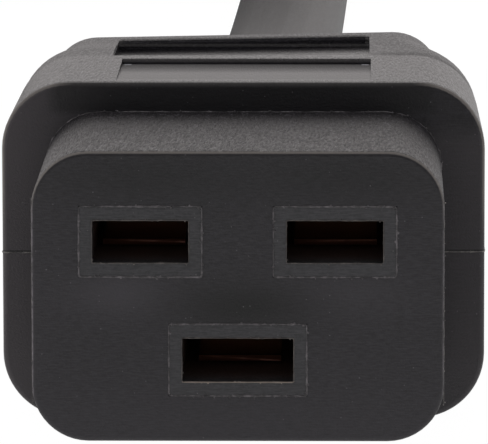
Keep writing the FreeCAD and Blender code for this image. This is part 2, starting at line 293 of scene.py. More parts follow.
def hankPoints():
    s = cord
    middleX = s["rightX"] - s["bendRadius"]
    step = math.pi / len(s["climb"])
    reach = s["bendRadius"] / math.cos(step / 2)
    inset = (s["farY"] - s["nearY"]) / 3 * s["runInset"]
    runY = (s["nearY"] + inset, s["farY"] - inset)
    level = (0.0,) * len(s["climb"])

    def bend(start, y, z, climb):
        angles = [start + step * (i + 0.5) for i in range(len(climb))]
        return [
            (middleX + reach * math.cos(angle), y + reach * math.sin(angle), z + s["diameter"] * gain)
            for angle, gain in zip(angles, climb)
        ]

    points = []
    for turn in range(s["turns"]):
        z = s["lowTurnZ"] + turn * s["diameter"]
        points += [(s["rightX"], y, z) for y in runY]
        points += bend(0.0, s["farY"], z, level)
        points += [(middleX - s["bendRadius"], y, z) for y in reversed(runY)]
        if turn < s["turns"] - 1:
            points += bend(math.pi, s["nearY"], z, s["climb"])
    return points


def layCord():
    points = leadPoints + hankPoints() + tailPoints
    curve = bpy.data.curves.new("cord", "CURVE")
    curve.dimensions = "3D"
    curve.bevel_depth = cord["diameter"] / 2
    curve.bevel_resolution = 7
    curve.resolution_u = 8
    curve.use_fill_caps = True
    spline = curve.splines.new("NURBS")
    spline.points.add(len(points) - 1)
    for knot, point in zip(spline.points, points):
        knot.co = (*point, 1)
    spline.order_u = 3
    spline.use_endpoint_u = True
    return addObject("cord", curve)


cordPiece = layCord()
print("cord laid")


pvc = {
    "grainScale": 7000,
    "alongTops": (1, 0.13, 1),    # the grain runs along the part on its tops and is even on its sides
    "topsZ": (0.0175, 0.0205),    # the sides end and the tops begin
    "fleckScale": 5200,
    "roughSwing": 0.09,
    "hardGrain": 0.00001,         # height of the grain on the hard pieces
}


def mouldedPvc(name, colour, rough):
    # the grain, mottled colour, dust points and gloss that all the mouldings share
    b = NodeBench(name)
    onTop = b.span(b.axes()[2], *pvc["topsZ"])
    even = b.noise(pvc["grainScale"], 1, 0.6)
    fine = b.mixed(onTop, even, b.noise(pvc["grainScale"], 1, 0.6, b.scaled(pvc["alongTops"])))
    patches = b.span(b.noise(70, 3, 0.5), 0.3, 0.7)
    streaks = b.span(b.noise(9000, 3, 0.7, b.scaled((0.12, 0.12, 1))), 0.4, 0.75)
    flecks = b.span(b.noise(pvc["fleckScale"], 2, 0.6), 0.5, 0.8)
    tone = b.blend(patches, times(colour, 0.8), times(colour, 1.25))
    tone = b.blend(streaks, tone, times(colour, 3.2))
    tone = b.blend(flecks, tone, times(colour, 2.5))
    dust = b.sums("MAXIMUM", b.dots(1100, 0.07, 0.3), b.dots(2600, 0.13, 0.2))
    rough = b.span(fine, 0.3, 0.7, rough - pvc["roughSwing"], rough + pvc["roughSwing"])
    return b, fine, tone, dust, rough


def lightPoints(b, length):
    # the raised points of the grain, drawn out along the part
    return b.span(b.noise(pvc["fleckScale"], 1, 0.5, b.scaled((1, length, 1))), 0.6, 0.7)


moulding = {
    "colour": (0.0086, 0.0080, 0.0096),
    "rough": 0.44,
    "noseRough": 0.50,
    "blockShift": -0.05,     # the block between nose and seam is a little smoother
    "grain": 0.00026,        # height of the mould's fine texture
    "blockGrain": 0.5,       # share of it behind the nose
    "faceGrain": 0.065,      # share of it on the faces that look forward
    "speckle": (0.08, 0.077, 0.088),    # light points in the grain of the tops and sides
    "speckleSides": 0.4,     # share of them on the sides
    "dust": (0.13, 0.125, 0.135),
    "paintedShadeBlack": (0.001, 0.001, 0.001),
    # where its parts lie: a pair is where a zone starts and where it is full
    "nose": (0.0276, 0.0196, 0.0038),   # width, height and corner
    "noseZ": 0.01185,
    "faceY": (-0.0374, -0.0378),
    "rootY": -0.018,         # where the nose meets the shoulder
    "rootSoft": 0.001,       # length over which the nose's finish gives way to the block's
    "evenBlock": 0.6,        # how much evener the block's gloss is than the nose's
    "frontY": (-0.01805, -0.0174),      # the shoulder's front face
    "blockY": (-0.0174, -0.0024),       # from there to the joint of the block's two mould parts
    "partingZ": 0.01178,     # painted shade along the fine step that the mould's halves leave under the parting flash
    "partingSlope": 0.0029,
    "stepZ": (0.00006, 0.00014),        # from the parting line
    "stepShade": 0.9,
    "rearLean": 0.0187,      # rise of the turned grip's top across its width
    # the face: fine level streaks, then soft spots of painted light and painted shade, as share, middle and
    # size
    "streak": 0.32,
    "streakAndPaintedLight": (0.052, 0.049, 0.056),
    "paintedLightSpots": (
        (0.80, (-0.0079, 0.0121), (0.0034, 0.0016)),
        (0.45, (0.0075, 0.0121), (0.0038, 0.0016)),
        (0.45, (0.0, 0.0015), (0.030, 0.0040)),
        (0.25, (-0.0150, 0.0100), (0.0030, 0.0090)),
    ),
    "paintedFaceShade": (0.0, 0.0, 0.0),
    "paintedShadeSpots": (
        (1.0, (0.0004, 0.0112), (0.0045, 0.0016)),
        (0.6, (-0.0060, 0.0200), (0.0070, 0.0020)),
        (0.6, (0.0070, 0.0200), (0.0070, 0.0020)),
    ),
    # the shoulder's front face: painted light on its sides, more so on the left, and painted shade above the
    # nose
    "paintedLightShoulder": (0.076, 0.069, 0.074),
    "paintedLightX": (0.0095, 0.016),
    "paintedLightShare": (0.95, 0.45),
    "cornerX": (0.009, 0.0125),         # the upper right corner gets no painted light
    "cornerZ": (0.0195, 0.0210),
    "shadeX": (0.0138, 0.0128),
    "shadeZ": (0.0214, 0.0219),
    "shade": 0.7,
    # finger pockets: sides, heights and ends of their floors
    "nearPocket": {
        "rough": 0.40, "sides": (-0.001, 0.0089), "heights": (0.0229, 0.02364), "ends": (-0.0176, -0.0046),
    },
    "farPocket": {
        "rough": 0.27, "sides": (-0.0098, 0.0089), "heights": (0.02227, 0.02341), "ends": (-0.0028, 0.0091),
    },
    "paintedGlint": (0.30, 0.31, 0.34),        # painted glint in the near pocket's rear corners
    "paintedGlintX": (0.0083, 0.0087),
    "paintedGlintY": (-0.0053, -0.0047),
    "scoopY": (-0.0112, -0.0046),       # where the near floor starts to curve up, and its far wall
    "scoopHeight": 0.0013,
    "brimX": (-0.0094, 0.0085),         # worn edge behind the far pocket
    "brimY": (0.0105, 0.0089),
    "brimZ": (0.0229, 0.0231),
    "brimStart": (0.0084, 0.0088),
    "brimHeight": 0.0004,
    # painted shade and duller gloss where the block sinks a little behind its seam, on the right
    "creaseX": (0.0088, 0.0105),
    "creaseY": (-0.0014, -0.0007),
    "creaseSoft": 0.0011,
    "creaseShadeColour": (0.001, 0.001, 0.0012),
    "creaseShade": 0.3,
    "creaseDull": 0.14,
    # worn edges, with painted highlights
    "edgeX": (0.01365, 0.01378),
    "edgeY": (-0.0375, -0.0378),
    "edgeRough": (0.42, 0.32),
    "edgeHighlight": (0.22, 0.20, 0.23),
    "paintedEdgeHighlight": (0.15, 0.14, 0.13),       # painted highlight on the nose's upper lip and the shoulder's rim
    "lipY": (-0.03792, -0.0377),
    "lipZ": (0.0170, 0.0195),
    "rimX": (0.0118, 0.0135),
    "rimY": (-0.01793, -0.0177),
    "rimZ": (0.013, 0.016),
}


def markFace(b, tone, onFace, x, z):
    s = moulding
    brushed = b.span(b.noise(9000, 1, 0.5, b.scaled((0.18, 1, 1))), 0.40, 0.64)
    tone = b.blend(b.product(brushed, onFace, s["streak"]), tone, s["streakAndPaintedLight"])
    # soft spots of painted light and painted shade over the face
    for colour, spots in ((s["streakAndPaintedLight"], s["paintedLightSpots"]), (s["paintedFaceShade"], s["paintedShadeSpots"])):
        for share, centre, size in spots:
            tone = b.blend(b.product(b.spot(x, z, centre, size), onFace, share), tone, colour)
    return tone


def shadeShoulder(b, tone, front, x, z, away):
    s = moulding
    # painted light on the shoulder's sides, left more than right, none in the upper right corner, and painted
    # shade above the nose
    corner = b.product(b.span(x, *s["cornerX"]), b.span(z, *s["cornerZ"]))
    litSides = b.product(front, b.span(away, *s["paintedLightX"]), b.span(x, -0.017, 0.017, *s["paintedLightShare"]))
    tone = b.blend(b.product(litSides, b.without(corner)), tone, s["paintedLightShoulder"])
    shade = b.product(front, b.span(z, *s["shadeZ"]), b.span(away, *s["shadeX"]), s["shade"])
    return b.blend(shade, tone, s["paintedShadeBlack"])


def pocketFloor(b, pocket, side, y, height):
    return b.product(
        b.inside(side, *pocket["sides"], 0.00002),
        b.inside(height, *pocket["heights"], 0.00002),
        b.inside(y, *pocket["ends"], 0.0001),
    )


def pocketShape(b, near, x, y, z):
    # the near floor's curve and the drop of the worn edge behind the far one
    s = moulding
    rise = b.sums("POWER", b.span(y, *s["scoopY"]), 2.0)
    scoop = b.bump(b.product(rise, near), s["scoopHeight"])
    across = b.inside(x, *s["brimX"], 0.0003)
    drop = b.sums("POWER", b.span(y, *s["brimY"]), 2.0)
    behind = b.product(b.span(z, *s["brimZ"]), b.span(y, *s["brimStart"]))
    return b.bump(b.product(across, drop, behind, -1.0), s["brimHeight"], before=scoop)


def wearAndHighlightEdges(b, tone, rough, x, y, z, away):
    # the nose's front edge is worn smooth and carries a painted highlight, less so on the right; the nose's
    # upper lip and the shoulder's rim carry one too
    s = moulding
    edge = b.product(b.span(y, *s["edgeY"]), b.span(away, *s["edgeX"]))
    chips = b.span(b.noise(1500, 3, 0.6), 0.38, 0.62)
    rough = b.mixed(edge, rough, b.span(chips, 0.0, 1.0, *s["edgeRough"]))
    tone = b.blend(b.product(edge, chips, b.span(x, 0.0, 0.002, 1.0, 0.5)), tone, s["edgeHighlight"])
    lip = b.product(b.inside(y, *s["lipY"], 0.00004), b.span(z, *s["lipZ"]))
    tone = b.blend(lip, tone, s["paintedEdgeHighlight"])
    rim = b.product(b.inside(y, *s["rimY"], 0.00004), b.span(away, *s["rimX"]), b.span(z, *s["rimZ"]))
    return b.blend(rim, tone, s["paintedEdgeHighlight"]), rough


def connectorPvc():
    s = moulding
    b, fine, tone, dust, rough = mouldedPvc("connectorPvc", s["colour"], s["rough"])
    x, y, z = b.axes()
    away = b.sums("ABSOLUTE", x, 0.0)
    rootY = s["rootY"]
    onFace = b.span(y, *s["faceY"])
    front = b.inside(y, *s["frontY"], 0.0002)
    behindNose = b.span(y, rootY, rootY + s["rootSoft"])
    onBlock = b.inside(y, *s["blockY"], 0.0003)
    rough = b.mixed(b.product(behindNose, s["evenBlock"]), rough, s["rough"])
    rough = b.sums("ADD", rough, b.span(y, rootY + 0.0002, rootY, 0.0, s["noseRough"] - s["rough"]))
    rough = b.sums("ADD", rough, b.product(onBlock, s["blockShift"]))
    tone = markFace(b, tone, onFace, x, z)
    tone = shadeShoulder(b, tone, front, x, z, away)
    # the finger pockets have smoother floors
    near = pocketFloor(b, s["nearPocket"], away, y, z)
    far = pocketFloor(b, s["farPocket"], x, y, b.sums("SUBTRACT", z, b.product(x, s["rearLean"])))
    low = b.sums("MAXIMUM", near, far)
    rough = b.mixed(near, rough, s["nearPocket"]["rough"])
    rough = b.mixed(far, rough, s["farPocket"]["rough"])
    paintedGlint = b.product(near, b.inside(away, *s["paintedGlintX"], 0.0001), b.inside(y, *s["paintedGlintY"], 0.0001))
    tone = b.blend(paintedGlint, tone, s["paintedGlint"])
    # painted shade and duller gloss in the crease behind the seam
    crease = b.product(b.inside(y, *s["creaseY"], s["creaseSoft"]), b.span(x, *s["creaseX"]))
    tone = b.blend(b.product(crease, s["creaseShade"]), tone, s["creaseShadeColour"])
    rough = b.mixed(b.product(crease, s["creaseDull"]), rough, 1.0)
    tone, rough = wearAndHighlightEdges(b, tone, rough, x, y, z, away)
    level = b.sums("SUBTRACT", z, b.product(x, s["partingSlope"]))
    stepZ = [s["partingZ"] + offset for offset in s["stepZ"]]
    # painted shade along the step under the parting flash
    step = b.product(b.inside(level, *stepZ, 0.00003), front, s["stepShade"])
    tone = b.blend(step, tone, s["paintedShadeBlack"])
    tone = b.blend(b.product(dust, b.without(low)), tone, s["dust"])
    # the grain and its light points are fainter on the forward faces and the pockets' floors
    calm = b.sums("MAXIMUM", b.sums("MAXIMUM", front, onFace), b.product(low, 0.7))
    grained = b.product(
        b.without(calm), b.without(low), b.span(z, *pvc["topsZ"], s["speckleSides"], 1.0),
    )
    tone = b.blend(b.product(lightPoints(b, 0.35), grained), tone, s["speckle"])
    height = b.product(
        fine, b.span(calm, 0.0, 1.0, 1.0, s["faceGrain"]), b.span(behindNose, 0.0, 1.0, 1.0, s["blockGrain"]),
    )
    return b.finish(tone, rough, b.bump(height, s["grain"], before=pocketShape(b, near, x, y, z)))


def plainPvc(name, colour, rough, grain, speckle=None):
    b, fine, tone, dust, rough = mouldedPvc(name, colour, rough)
    if speckle:
        tone = b.blend(lightPoints(b, 0.45), tone, speckle)
    tone = b.blend(dust, tone, tuple(min(0.8, c * 3 + 0.12) for c in colour))
    return b.finish(tone, rough, b.bump(fine, grain))


carrier = {
    "colour": (0.0220, 0.0222, 0.0240),
    "rough": 0.44,
    "dust": (0.16, 0.155, 0.16),
    "slotPaintedLight": (0.20, 0.135, 0.11),    # painted light, brown as from the contacts, inside its slots
    "slotY": (-0.0368, -0.0325),
}


def carrierPvc():
    # the hard moulding round the contacts
    b, fine, tone, dust, rough = mouldedPvc("carrierPvc", carrier["colour"], carrier["rough"])
    tone = b.blend(dust, tone, carrier["dust"])
    # painted brown light inside the slots
    tone = b.blend(b.span(b.axes()[1], *carrier["slotY"]), tone, carrier["slotPaintedLight"])
    return b.finish(tone, rough, b.bump(fine, pvc["hardGrain"]))


contact = {
    "rough": 0.45,
    "tarnish": ((0.030, 0.012, 0.008), (0.10, 0.038, 0.022)),
    "deep": (0.42, 0.24, 0.15),         # brighter behind its front edge
    "deepY": (-0.0303, -0.0300),
    # the painted glint, a bright line on the lower leaf: x and z are measured from the slot's middle
    "glint": (0.42, 0.19, 0.14),
    "glintWidth": 0.00007,
    "glintReach": 0.0028,
    "glintFade": (-0.0026, 0.0016),
    "glintY": (-0.0302, -0.0304),
    "fall": {"line": (-0.00096, -0.00112), "neutral": (-0.00108, -0.00098), "earth": (-0.00095, -0.00130)},
}


def drawnLines(b):
    # the fine lines that rolling and drawing leave along the metal
    return b.noise(900, 3, 0.6, b.scaled((6, 0.3, 6)))


def contactBrass(pole):
    # tarnished sheet with a painted glint along its front rim
    s = contact
    x0, z0 = poles[pole]
    b = NodeBench("contactBrass_" + pole)
    b.shader.inputs["Metallic"].default_value = 1.0
    x, y, z = b.axes()
    line = b.sums("SUBTRACT", z, b.span(x, x0 - s["glintReach"], x0 + s["glintReach"], *s["fall"][pole]))
    # painted glint along the lower leaf's front rim
    glint = b.product(
        b.inside(line, z0 - s["glintWidth"], z0, 0.00003),
        b.span(y, *s["glintY"]),
        b.span(x, *[x0 + offset for offset in s["glintFade"]]),
        b.span(b.noise(1100, 2, 0.5), 0.40, 0.58, 0.35, 1.0),
    )
    stain = b.blend(b.noise(500, 3, 0.6), *s["tarnish"])
    stain = b.blend(b.span(y, *s["deepY"]), stain, s["deep"])
    return b.finish(b.blend(glint, stain, s["glint"]), s["rough"], b.bump(drawnLines(b), 0.00002, 0.6))


def bareMetal(name, colour, rough, tarnish):
    b = NodeBench(name)
    b.shader.inputs["Metallic"].default_value = 1.0
    drawn = drawnLines(b)
    stained = b.span(b.noise(350, 3, 0.6), 0.42, 0.62)
    clean = b.blend(drawn, times(colour, 0.75), colour)
    dull = tuple(c * t for c, t in zip(colour, tarnish))
    shine = b.span(drawn, 0.2, 0.8, rough - 0.08, rough + 0.1)
    return b.finish(b.blend(stained, dull, clean), shine, b.bump(drawn, 0.00002, 0.6))


plainSkins = {
    # colour, roughness, height of the grain and colour of its light points
    "plugPvc": (moulding["colour"], moulding["rough"], 0.00012, moulding["speckle"]),
    "insertPvc": ((0.020, 0.020, 0.021), 0.44, pvc["hardGrain"]),
    "jacketPvc": ((0.008, 0.008, 0.009), 0.48, 0.00006),
    "lineCore": ((0.12, 0.045, 0.02), 0.4, pvc["hardGrain"]),
    "neutralCore": ((0.02, 0.07, 0.3), 0.4, pvc["hardGrain"]),
    "earthCore": ((0.03, 0.25, 0.05), 0.4, pvc["hardGrain"]),
}
metals = {
    # colour, roughness, and what tarnish leaves of the colour
    "platedPin": ((0.62, 0.60, 0.55), 0.28, (0.8, 0.78, 0.72)),
    "copperStrand": ((0.70, 0.32, 0.18), 0.35, (0.8, 0.7, 0.7)),
}


def dressNodes():
    skins = {name: plainPvc(name, *values) for name, values in plainSkins.items()}
    skins.update((name, bareMetal(name, *values)) for name, values in metals.items())
    finishes = {
        "overmould_body": connectorPvc(),
        "plug_body": skins["plugPvc"],
        "contact_carrier": carrierPvc(),
        "carrier_cap": skins["insertPvc"],
        "plug_pin_insert": skins["insertPvc"],
    }
    for pole in poles:
        finishes[pole + "_contact"] = contactBrass(pole)
        finishes["plug_" + pole + "_pin"] = skins["platedPin"]
        for end in ("", "plug_"):
            finishes[end + pole + "_conductor"] = skins["copperStrand"]
            finishes[end + pole + "_insulation"] = skins[pole + "Core"]
    for name, material in finishes.items():
        dress(nodes[name].data, material)
    cordPiece.data.materials.append(skins["jacketPvc"])


dressNodes()
print("nodes dressed")


flash = {
    "faceY": -0.038,
    # thickness, unevenness, size of the crumbs and seed of each kind of line
    "tower": (0.00006, 0.9, 1.0, 3.0),
    "rim": (0.00005, 0.45, 0.6, 11.0),
    "root": (0.00006, 0.9, 1.0, 21.0),
    "nose": (0.00002, 0.9, 0.5, 27.0),
    "parting": (0.00005, 0.6, 0.4, 31.0),
    "wander": 0.00003,
    "lumps": 1100.0,      # how closely the thick and thin places follow each other
    "spacing": 0.00016,
    "crumbSize": 0.00011,
    "crumbStep": 0.00018,
    "crumbSpread": 0.00009,
    "slots": {"line": (0.0065, 0.0029), "neutral": (0.0065, 0.0029), "earth": (0.0075, 0.003)},
    "slotCorner": 0.00006,
    "towerWall": (0.0009, 0.00097),
    "towerCorner": 0.00012,
    "inset": 0.00008,
    "sideX": 0.01378,     # the line down each side of the nose's face
    "sideY": -0.0378,
    "sideZ": (0.0045, 0.0105, 0.0185),
    # where the painted highlight under each slot lies
    "earthSillZ": (0.0062, 0.0060),
    "upperSillZ": (0.0128, 0.0140),
}


def flashPvc(name, dull, bright, sillHighlight=None):
    # a thin line of flash whose painted highlight shows only here and there, and all along under each slot
    b = NodeBench(name)
    highlightPatch = b.span(b.noise(2100, 3, 0.6), 0.44, 0.68)
    tone = b.blend(highlightPatch, dull, bright)
    if sillHighlight:
        z = b.axes()[2]
        low = b.sums("MAXIMUM", b.span(z, *flash["earthSillZ"]), b.inside(z, *flash["upperSillZ"], 0.0001))
        tone = b.blend(low, tone, sillHighlight)
    return b.finish(tone, 0.42, b.bump(highlightPatch, 0.00001, 0.6))


# the dull and pale colours of each kind of flash line carry its painted highlight; the rim's third colour is
# the painted highlight under each slot
flashPlastic = flashPvc("flashPvc", (0.060, 0.058, 0.060), (0.20, 0.19, 0.20))
partingPlastic = flashPvc("partingFlashPvc", (0.10, 0.097, 0.095), (0.30, 0.29, 0.27))
rimPlastic = flashPvc("rimPvc", (0.050, 0.046, 0.043), (0.14, 0.13, 0.12), (0.48, 0.41, 0.34))


def flashTree():
    # a thin uneven bead of moulding flash along the piece's edges
    g, given = startTree("flash line", {
        "Thickness": "Float",
        "Unevenness": "Float",
        "Wander": "Float",
        "Lumps": "Float",
        "Spacing": "Float",
        "Seed": "Float",
        "Crumb Size": "Float",
        "Crumb Step": "Float",
        "Crumb Spread": "Float",
        "Material": "Material",
    })
    path = g.add("GeometryNodeMeshToCurve")
    g.link(given["Geometry"], path.inputs["Mesh"])
    even = g.add("GeometryNodeResampleCurve", mode="LENGTH")
    g.link(path.outputs["Curve"], even.inputs["Curve"])
    g.link(given["Spacing"], even.inputs["Length"])
    noise = g.add("ShaderNodeTexNoise", noise_dimensions="4D")
    g.link(g.add("GeometryNodeInputPosition").outputs["Position"], noise.inputs["Vector"])
    g.link(given["Lumps"], noise.inputs["Scale"])
    g.link(given["Seed"], noise.inputs["W"])
    noise.inputs["Detail"].default_value = 3.0
    shift = g.add("ShaderNodeVectorMath", operation="SUBTRACT")
    g.link(noise.outputs["Color"], shift.inputs[0])
    shift.inputs[1].default_value = (0.5, 0.5, 0.5)
    stray = g.add("ShaderNodeVectorMath", operation="SCALE")
    g.link(shift.outputs["Vector"], stray.inputs[0])
    g.link(given["Wander"], stray.inputs["Scale"])
    moved = g.add("GeometryNodeSetPosition")
    g.link(even.outputs["Curve"], moved.inputs["Geometry"])
    g.link(stray.outputs["Vector"], moved.inputs["Offset"])
    swell = g.product(g.span(noise.outputs["Fac"], 0.3, 0.7, -1.0, 1.0), given["Unevenness"])
    size = g.sums("MAXIMUM", g.sums("ADD", 1.0, swell), 0.12)
    ring = g.add("GeometryNodeCurvePrimitiveCircle")
    ring.inputs["Resolution"].default_value = 6
    g.link(given["Thickness"], ring.inputs["Radius"])
    bead = g.add("GeometryNodeCurveToMesh")
    g.link(moved.outputs["Geometry"], bead.inputs["Curve"])
    g.link(ring.outputs["Curve"], bead.inputs["Profile Curve"])
    g.link(size, bead.inputs["Scale"])
    bead.inputs["Fill Caps"].default_value = True
    # torn crumbs that lie along the bead
    marks = g.add("GeometryNodeCurveToPoints", mode="LENGTH")
    g.link(moved.outputs["Geometry"], marks.inputs["Curve"])
    g.link(given["Crumb Step"], marks.inputs["Length"])
    aside = g.add("FunctionNodeRandomValue", data_type="FLOAT_VECTOR")
    aside.inputs[0].default_value = (-1, 0, -1)
    aside.inputs[1].default_value = (1, 0, 1)
    aside.inputs["Seed"].default_value = 7
    spread = g.add("ShaderNodeVectorMath", operation="SCALE")
    g.link(aside.outputs[0], spread.inputs[0])
    g.link(given["Crumb Spread"], spread.inputs["Scale"])
    strewn = g.add("GeometryNodeSetPosition")
    g.link(marks.outputs["Points"], strewn.inputs["Geometry"])
    g.link(spread.outputs["Vector"], strewn.inputs["Offset"])
    share = g.add("FunctionNodeRandomValue", data_type="FLOAT")
    share.inputs["Seed"].default_value = 8
    weight = g.sums("MAXIMUM", g.span(share.outputs[1], 0.45, 1.0), 0.02)
    crumb = g.add("GeometryNodeMeshIcoSphere")
    crumb.inputs["Subdivisions"].default_value = 1
    g.link(given["Crumb Size"], crumb.inputs["Radius"])
    strew = g.add("GeometryNodeInstanceOnPoints")
    g.link(strewn.outputs["Geometry"], strew.inputs["Points"])
    g.link(crumb.outputs["Mesh"], strew.inputs["Instance"])
    g.link(weight, strew.inputs["Scale"])
    both = g.add("GeometryNodeJoinGeometry")
    g.link(bead.outputs["Mesh"], both.inputs["Geometry"])
    g.link(strew.outputs["Instances"], both.inputs["Geometry"])
    return endTree(g, both.outputs["Geometry"], given["Material"])


flashLine = flashTree()


def loopAt(width, height, corner, centre, y):
    # closed rounded outline in the plane at y
    x, z = centre
    a, c = width / 2 - corner, height / 2 - corner
    bm = bmesh.new()
    verts = []
    for i, (sx, sz) in enumerate(((1, 1), (-1, 1), (-1, -1), (1, -1))):
        for j in range(7):
            turn = math.radians(90 * i + 15 * j)
            point = (x + sx * a + corner * math.cos(turn), y, z + sz * c + corner * math.sin(turn))
            verts.append(bm.verts.new(point))
    for first, second in zip(verts, verts[1:] + verts[:1]):
        bm.edges.new((first, second))
    return bm


def layFlash(name, bm, kind, material, extraSeed=0):
    thickness, unevenness, crumb, seed = flash[kind]
    piece = addPiece(name, bm)
    growTree(piece, flashLine, {
        "Thickness": thickness,
        "Unevenness": unevenness,
        "Wander": flash["wander"],
        "Lumps": flash["lumps"],
        "Spacing": flash["spacing"],
        "Seed": seed + extraSeed,
        "Crumb Size": flash["crumbSize"] * crumb,
        "Crumb Step": flash["crumbStep"],
        "Crumb Spread": flash["crumbSpread"],
        "Material": material,
    })
    finishPiece(piece, material)


def layFaceFlash():
    s = flash
    wallX, wallZ = s["towerWall"]
    for i, (pole, centre) in enumerate(poles.items()):
        width, height = s["slots"][pole]
        wide, high = width + 2 * wallX - s["inset"], height + 2 * wallZ - s["inset"]
        tower = loopAt(wide, high, s["towerCorner"], centre, s["faceY"])
        layFlash("towerFlash_" + pole, tower, "tower", flashPlastic, i)
        rim = loopAt(width, height, s["slotCorner"], centre, s["faceY"])
        layFlash("rimFlash_" + pole, rim, "rim", rimPlastic, i)
    sides = bmesh.new()
    for x in (-s["sideX"], s["sideX"]):
        verts = [sides.verts.new((x, s["sideY"], z)) for z in s["sideZ"]]
        sides.edges.new(verts[:2])
        sides.edges.new(verts[1:])
    layFlash("noseFlash", sides, "nose", partingPlastic)
    root = loopAt(*moulding["nose"], (0.0, moulding["noseZ"]), moulding["rootY"])
    layFlash("rootFlash", root, "root", flashPlastic)


# where the halves of each mould met: y of both ends, y of the step in its width, and how far
# from the middle its outer sides lie before and behind that step
partings = {
    "overmould_body": {
        "z": moulding["partingZ"], "slope": moulding["partingSlope"], "middleX": 0.0,
        "ends": (-0.0181, 0.0181), "stepY": 0.0127, "reach": (0.0129, 0.0079),
    },
    "plug_body": {
        "z": 0.01245, "slope": 0.0, "middleX": -0.0475,
        "ends": (0.0979, 0.1427), "stepY": 0.137, "reach": (0.01435, 0.0079),
    },
}


def partingEdges(name, parting):
    # the outer outline at half height, without the bore's
    def keep(co):
        ahead, behind = parting["reach"]
        reach = ahead if co.y < parting["stepY"] else behind
        front, rear = parting["ends"]
        return front <= co.y < rear and abs(co.x - parting["middleX"]) > reach

    bm = bmesh.new()
    bm.from_mesh(nodes[name].data)
    bmesh.ops.remove_doubles(bm, verts=bm.verts, dist=1e-6)
    cut = bmesh.ops.bisect_plane(
        bm, geom=bm.verts[:] + bm.edges[:] + bm.faces[:],
        plane_co=(0, 0, parting["z"]), plane_no=(-parting["slope"], 0, 1),
    )
    line = bmesh.new()
    made = {}
    for edge in cut["geom_cut"]:
        if not isinstance(edge, bmesh.types.BMEdge) or not all(keep(vert.co) for vert in edge.verts):
            continue
        ends = []
        for vert in edge.verts:
            key = tuple(round(c, 7) for c in vert.co)
            if key not in made:
                made[key] = line.verts.new(vert.co)
            ends.append(made[key])
        if ends[0] != ends[1] and not line.edges.get(ends):
            line.edges.new(ends)
    bm.free()
    return line


def layPartingLines():
    for name, parting in partings.items():
        line = partingEdges(name, parting)
        print(name, "parting edges", len(line.edges))
        layFlash(name + "_parting", line, "parting", partingPlastic)


layFaceFlash()
layPartingLines()
print("flash laid")


strap = {
    "width": 0.0138,
    "thickness": 0.0007,
    "bore": (0.0107, 0.0321, 0.0046),    # width, height and corner of the turns it holds
    "bottomZ": 0.0008,
    "middleY": 0.317,
    "overlap": 0.022,
    "rampSteps": 8,                      # in which it climbs onto its own first turn
    "tongue": 0.007,
    "curl": 0.008,                       # length of the free end that lifts
    "lift": 0.0011,
    "gap": 0.00003,
    "stack": 1.08,                       # thicknesses between its two turns
    "rounding": 0.3,                     # of its edges, as a share of the thickness
    "step": 0.0007,
    "loopDensity": 1.6e6,
    "loopSize": 0.00028,
    "lowestLoop": 0.0015,
    "clothColour": (0.03, 0.03, 0.032),
    "yarnColour": (0.045, 0.045, 0.048),
}


def wovenStrap(name, colour):
    b = NodeBench(name)
    loops = b.add("ShaderNodeTexVoronoi", feature="F1")
    loops.inputs["Scale"].default_value = 2600
    b.link(b.place, loops.inputs["Vector"])
    ribs = b.add("ShaderNodeTexWave", wave_type="BANDS", bands_direction="Y")
    ribs.inputs["Scale"].default_value = 420
    ribs.inputs["Distortion"].default_value = 0.6
    b.link(b.place, ribs.inputs["Vector"])
    height = b.sums("ADD", b.without(loops.outputs["Distance"]), b.product(ribs.outputs["Fac"], 0.5))
    b.shader.inputs["Sheen Weight"].default_value = 0.3
    # painted shade in the weave's hollows
    tone = b.blend(b.span(height, 0.4, 1.4), times(colour, 0.35), colour)
    return b.finish(tone, 0.95, b.bump(height, 0.0002))


strapCloth = wovenStrap("strapCloth", strap["clothColour"])
loopYarn = wovenStrap("loopYarn", strap["yarnColour"])


def strapPath():
    # points and outward directions round the turns, by length from the middle of the outer side
    width, height, corner = strap["bore"]
    a, c = width / 2 - corner, height / 2 - corner
    sides = [
        ((width / 2, -c), (0, 1), c * 2, None), ((a, c), None, corner, 0),
        ((a, height / 2), (-1, 0), a * 2, None), ((-a, c), None, corner, 90),
        ((-width / 2, c), (0, -1), c * 2, None), ((-a, -c), None, corner, 180),
        ((-a, -height / 2), (1, 0), a * 2, None), ((a, -c), None, corner, 270),
    ]
    path = []
    for start, along, size, turn in sides:
        length = size if turn is None else size * math.pi / 2
        count = max(2, round(length / strap["step"]))
        for i in range(count):
            if turn is None:
                x, z = start[0] + along[0] * size * i / count, start[1] + along[1] * size * i / count
                out = (along[1], -along[0])
            else:
                angle = math.radians(turn + 90 * i / count)
                out = (math.cos(angle), math.sin(angle))
                x, z = start[0] + size * out[0], start[1] + size * out[1]
            path.append(((x, z), out))
    return path


